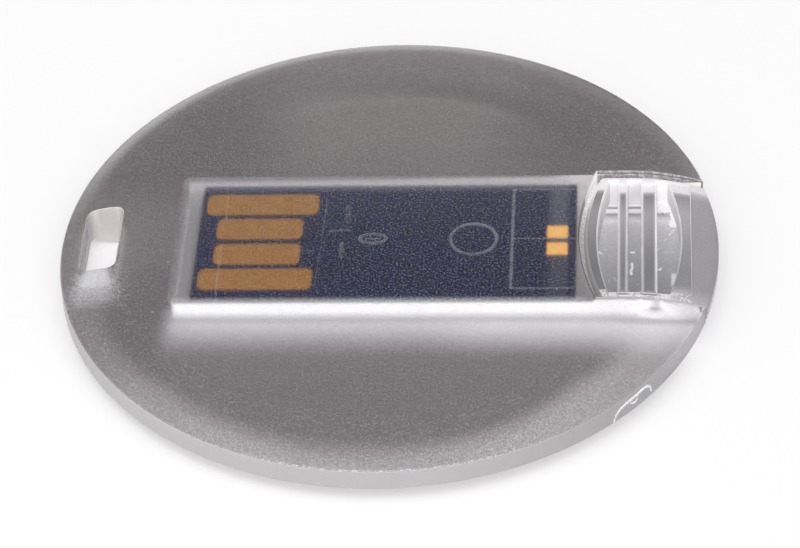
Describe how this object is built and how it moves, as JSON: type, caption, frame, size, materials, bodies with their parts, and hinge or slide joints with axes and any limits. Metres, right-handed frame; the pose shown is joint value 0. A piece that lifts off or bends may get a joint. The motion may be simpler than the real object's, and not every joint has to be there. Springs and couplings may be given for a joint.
{
  "type": "usb flash drive",
  "caption": "Round card flash drive: a frosted clear disc with a clear arm that carries the memory module and swings out past the rim.",
  "frame": {"origin": "the disc's centre at mid thickness", "axes": "+X from the disc's centre towards the hinge, +Y along the hinge axis, +Z out of the face that the contacts look at"},
  "size_m": [0.04, 0.04, 0.003],
  "materials": {
    "frosted_plastic": "see-through moulded plastic with a fine frosted surface",
    "clear_plastic": "water-clear moulded plastic, polished",
    "solder_mask": "dark navy solder mask on a thin laminate",
    "gold_plating": "gold flash over nickel on copper, satin",
    "epoxy": "black moulding compound, matt",
    "adhesive": "double-sided film adhesive",
    "silicon": "ground silicon",
    "attach_film": "cured die attach film",
    "capacitor_ceramic": "fired ceramic chip",
    "resistor_ceramic": "black glaze over a ceramic chip",
    "crystal_lid": "plated metal lid"
  },
  "bodies": {
    "disc": {"disc_body": "frosted_plastic"},
    "arm": {"swing_arm": "clear_plastic", "module_substrate": "solder_mask", "epoxy_encapsulant": "epoxy", "adhesive_pad": "adhesive", "contact_ground": "gold_plating", "contact_data_plus": "gold_plating", "contact_data_minus": "gold_plating", "contact_supply": "gold_plating", "led_pad_anode": "gold_plating", "led_pad_cathode": "gold_plating", "flash_memory_die": "silicon", "controller_die": "silicon", "flash_die_attach_film": "attach_film", "controller_die_attach_film": "attach_film", "capacitor_supply": "capacitor_ceramic", "capacitor_flash": "capacitor_ceramic", "capacitor_core": "capacitor_ceramic", "capacitor_crystal_in": "capacitor_ceramic", "capacitor_crystal_out": "capacitor_ceramic", "resistor_data_plus": "resistor_ceramic", "resistor_data_minus": "resistor_ceramic", "resistor_indicator": "resistor_ceramic", "clock_crystal": "crystal_lid"}
  },
  "joints": [
    {"name": "arm_swing", "type": "hinge", "parent": "disc", "child": "arm", "pos_m": [0.0159, 0, 0], "axis": [0, -1, 0], "range_deg": [0, 180]}
  ]
}
